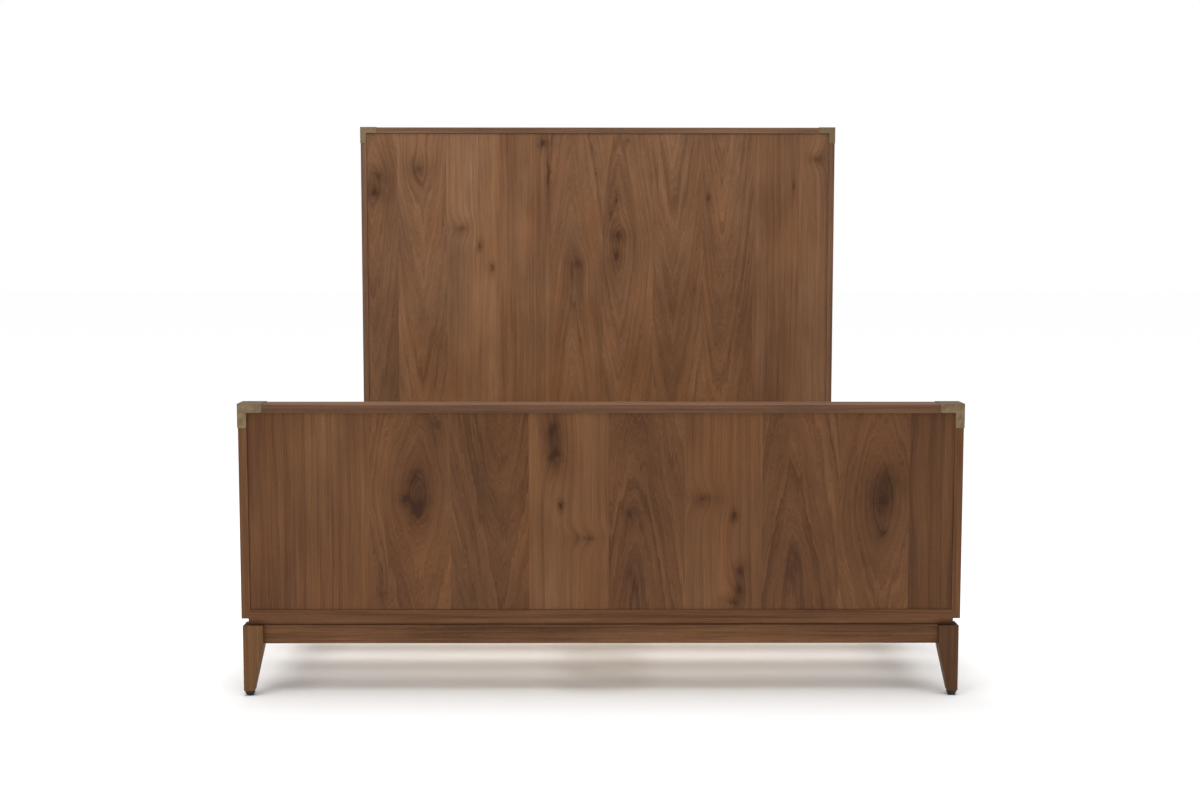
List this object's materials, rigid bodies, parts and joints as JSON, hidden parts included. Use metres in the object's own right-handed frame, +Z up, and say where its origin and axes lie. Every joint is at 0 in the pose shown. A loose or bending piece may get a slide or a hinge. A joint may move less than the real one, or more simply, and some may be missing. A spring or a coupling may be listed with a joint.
{
  "type": "bed frame",
  "caption": "Wooden bed frame with framed veneer head and foot boards, metal corner caps, tapered legs, side rails, slats and adjustable feet.",
  "frame": {"origin": "on the floor, under the middle of the bed", "axes": "+X to the right seen from the foot end, +Y towards the headboard, +Z up"},
  "size_m": [1.6424, 2.1804, 1.4312],
  "materials": {
    "walnut_veneer": "book-matched walnut veneer, satin lacquer",
    "solid_walnut": "solid walnut, satin lacquer",
    "brass": "aged brushed brass",
    "core_timber": "raw poplar",
    "slat_pine": "planed pine, unfinished",
    "support_timber": "planed pine, clear sealed",
    "beech_joint": "raw beech",
    "black_nylon": "moulded black nylon on a steel stud",
    "black_steel": "black powder coat",
    "zinc_steel": "bright zinc plate"
  },
  "bodies": {
    "frame": {"beam_hangers": "black_steel", "centre_beam": "support_timber", "centre_leg_foot_side": "support_timber", "centre_leg_head_side": "support_timber", "countersunk_screws": "zinc_steel", "dowels": "beech_joint", "foot_inserts": "zinc_steel", "footboard_bottom_rail": "solid_walnut", "footboard_core": "core_timber", "footboard_inner_panel": "walnut_veneer", "footboard_left_corner_cap": "brass", "footboard_left_leg": "solid_walnut", "footboard_left_stile": "solid_walnut", "footboard_outer_panel": "walnut_veneer", "footboard_plinth": "solid_walnut", "footboard_right_corner_cap": "brass", "footboard_right_leg": "solid_walnut", "footboard_right_stile": "solid_walnut", "footboard_stretcher": "solid_walnut", "footboard_top_rail": "solid_walnut", "headboard_bottom_rail": "solid_walnut", "headboard_core": "core_timber", "headboard_inner_panel": "walnut_veneer", "headboard_left_corner_cap": "brass", "headboard_left_leg": "solid_walnut", "headboard_left_stile": "solid_walnut", "headboard_outer_panel": "walnut_veneer", "headboard_plinth": "solid_walnut", "headboard_right_corner_cap": "brass", "headboard_right_leg": "solid_walnut", "headboard_right_stile": "solid_walnut", "headboard_stretcher": "solid_walnut", "headboard_top_rail": "solid_walnut", "left_side_rail": "solid_walnut", "left_slat_cleat": "support_timber", "mitre_splines": "beech_joint", "pan_head_screws": "zinc_steel", "rail_bolts": "zinc_steel", "rail_brackets": "black_steel", "rail_inserts": "zinc_steel", "right_side_rail": "solid_walnut", "right_slat_cleat": "support_timber", "slat_01": "slat_pine", "slat_02": "slat_pine", "slat_03": "slat_pine", "slat_04": "slat_pine", "slat_05": "slat_pine", "slat_06": "slat_pine", "slat_07": "slat_pine", "slat_08": "slat_pine", "slat_09": "slat_pine", "slat_10": "slat_pine", "slat_11": "slat_pine", "slat_12": "slat_pine"},
    "foot_left_levelling_foot_body": {"foot_left_levelling_foot": "black_nylon"},
    "foot_right_levelling_foot_body": {"foot_right_levelling_foot": "black_nylon"},
    "head_left_levelling_foot_body": {"head_left_levelling_foot": "black_nylon"},
    "head_right_levelling_foot_body": {"head_right_levelling_foot": "black_nylon"},
    "centre_foot_foot_side_body": {"centre_foot_foot_side": "black_nylon"},
    "centre_foot_head_side_body": {"centre_foot_head_side": "black_nylon"}
  },
  "joints": [
    {"name": "foot_left_levelling_foot_adjust", "type": "slide", "parent": "frame", "child": "foot_left_levelling_foot_body", "axis": [0, 0, -1], "range_m": [0, 0.012]},
    {"name": "foot_right_levelling_foot_adjust", "type": "slide", "parent": "frame", "child": "foot_right_levelling_foot_body", "axis": [0, 0, -1], "range_m": [0, 0.012]},
    {"name": "head_left_levelling_foot_adjust", "type": "slide", "parent": "frame", "child": "head_left_levelling_foot_body", "axis": [0, 0, -1], "range_m": [0, 0.012]},
    {"name": "head_right_levelling_foot_adjust", "type": "slide", "parent": "frame", "child": "head_right_levelling_foot_body", "axis": [0, 0, -1], "range_m": [0, 0.012]},
    {"name": "centre_foot_foot_side_adjust", "type": "slide", "parent": "frame", "child": "centre_foot_foot_side_body", "axis": [0, 0, -1], "range_m": [0, 0.012]},
    {"name": "centre_foot_head_side_adjust", "type": "slide", "parent": "frame", "child": "centre_foot_head_side_body", "axis": [0, 0, -1], "range_m": [0, 0.012]}
  ]
}
